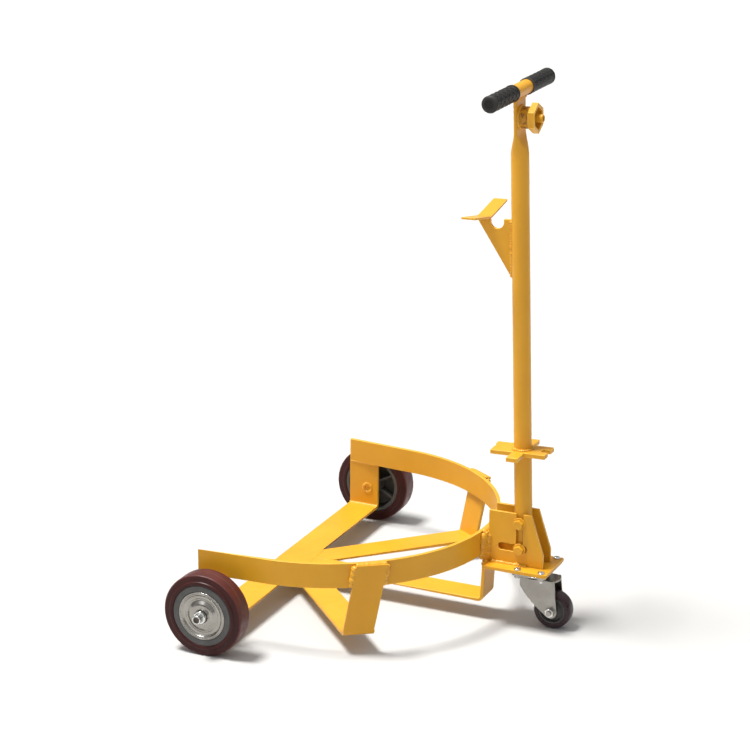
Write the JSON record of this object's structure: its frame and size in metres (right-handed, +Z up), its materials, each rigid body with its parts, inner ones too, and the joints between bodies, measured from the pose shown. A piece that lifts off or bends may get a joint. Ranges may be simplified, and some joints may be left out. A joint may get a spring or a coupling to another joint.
{
  "type": "drum dolly",
  "caption": "Low steel dolly with a half-ring drum cradle, rear wheels, a swivel caster and a lift-off tilting handle with drum hook and bung keys.",
  "frame": {"origin": "on the floor, under the middle of the bounding box", "axes": "+Z up, +X from the drum cradle towards the caster and the person who pulls, +Y towards that person's right hand"},
  "size_m": [0.623, 0.8, 0.987],
  "materials": {
    "yellow_paint": "gloss orange-yellow powder coat over welded steel",
    "zinc": "zinc-plated pressed steel",
    "bright_zinc": "bright plated fasteners",
    "dark_steel": "plain turned steel",
    "polyurethane": "glossy maroon moulded polyurethane",
    "grey_plastic": "satin dark grey moulding",
    "black_rubber": "matt black textured rubber"
  },
  "bodies": {
    "frame": {"drum_band": "yellow_paint", "rear_cross_bar": "yellow_paint", "centre_spoke": "yellow_paint", "left_spoke": "yellow_paint", "right_spoke": "yellow_paint", "base_plate": "yellow_paint", "left_cheek": "yellow_paint", "right_cheek": "yellow_paint", "left_axle": "dark_steel", "left_spacer": "zinc", "left_axle_collar": "bright_zinc", "right_axle": "dark_steel", "right_spacer": "zinc", "right_axle_collar": "bright_zinc", "caster_top_plate": "zinc", "caster_upper_race": "zinc", "kingpin": "dark_steel", "caster_screw_1": "bright_zinc", "caster_screw_2": "bright_zinc", "caster_screw_3": "bright_zinc", "caster_screw_4": "bright_zinc", "caster_nut_1": "zinc", "caster_nut_2": "zinc", "caster_nut_3": "zinc", "caster_nut_4": "zinc"},
    "left_wheel": {"left_tyre": "polyurethane", "left_wheel_core": "grey_plastic", "left_hub_cap": "zinc", "left_bush": "dark_steel"},
    "right_wheel": {"right_tyre": "polyurethane", "right_wheel_core": "grey_plastic", "right_hub_cap": "zinc", "right_bush": "dark_steel"},
    "caster_swivel": {"caster_fork": "zinc", "caster_lower_race": "dark_steel", "caster_axle_bolt": "zinc", "caster_axle_nut": "zinc"},
    "caster_wheel": {"caster_tread": "polyurethane", "caster_core": "grey_plastic"},
    "upper_bolt": {"upper_bolt": "yellow_paint", "upper_bolt_left_washer": "yellow_paint", "upper_bolt_right_washer": "yellow_paint", "upper_bolt_nut": "yellow_paint"},
    "lower_bolt": {"lower_bolt": "yellow_paint", "lower_bolt_left_washer": "yellow_paint", "lower_bolt_right_washer": "yellow_paint", "lower_bolt_nut": "yellow_paint"},
    "handle": {"handle_tube": "yellow_paint", "t_bar": "yellow_paint", "left_grip": "black_rubber", "right_grip": "black_rubber", "hook_gusset": "yellow_paint", "hook_plate": "yellow_paint", "bung_key_plate": "yellow_paint", "wrench_stub": "yellow_paint", "wrench_ring": "yellow_paint", "wrench_pin": "yellow_paint"}
  },
  "joints": [
    {"name": "left_wheel_spin", "type": "hinge", "parent": "frame", "child": "left_wheel", "pos_m": [-0.2365, -0.36, 0.075], "axis": [0, 1, 0], "continuous": true},
    {"name": "right_wheel_spin", "type": "hinge", "parent": "frame", "child": "right_wheel", "pos_m": [-0.2365, 0.36, 0.075], "axis": [0, 1, 0], "continuous": true},
    {"name": "caster_turn", "type": "hinge", "parent": "frame", "child": "caster_swivel", "pos_m": [0.2425, 0, 0.1], "axis": [0, 0, 1], "continuous": true},
    {"name": "caster_wheel_spin", "type": "hinge", "parent": "caster_swivel", "child": "caster_wheel", "pos_m": [0.2765, 0, 0.035], "axis": [0, 1, 0], "continuous": true},
    {"name": "handle_lift", "type": "slide", "parent": "frame", "child": "upper_bolt", "axis": [0, 0, 1], "range_m": [0, 0.13]},
    {"name": "lower_bolt_slide", "type": "slide", "parent": "upper_bolt", "child": "lower_bolt", "axis": [1, 0, 0], "range_m": [-0.0345, 0]},
    {"name": "handle_tilt", "type": "hinge", "parent": "upper_bolt", "child": "handle", "pos_m": [0.21435, 0, 0.19467], "axis": [0, 1, 0], "range_deg": [0, 35.8]}
  ],
  "couplings": [
    {"joint": "lower_bolt_slide", "follows": "handle_tilt", "m_per_rad": -0.0552}
  ]
}
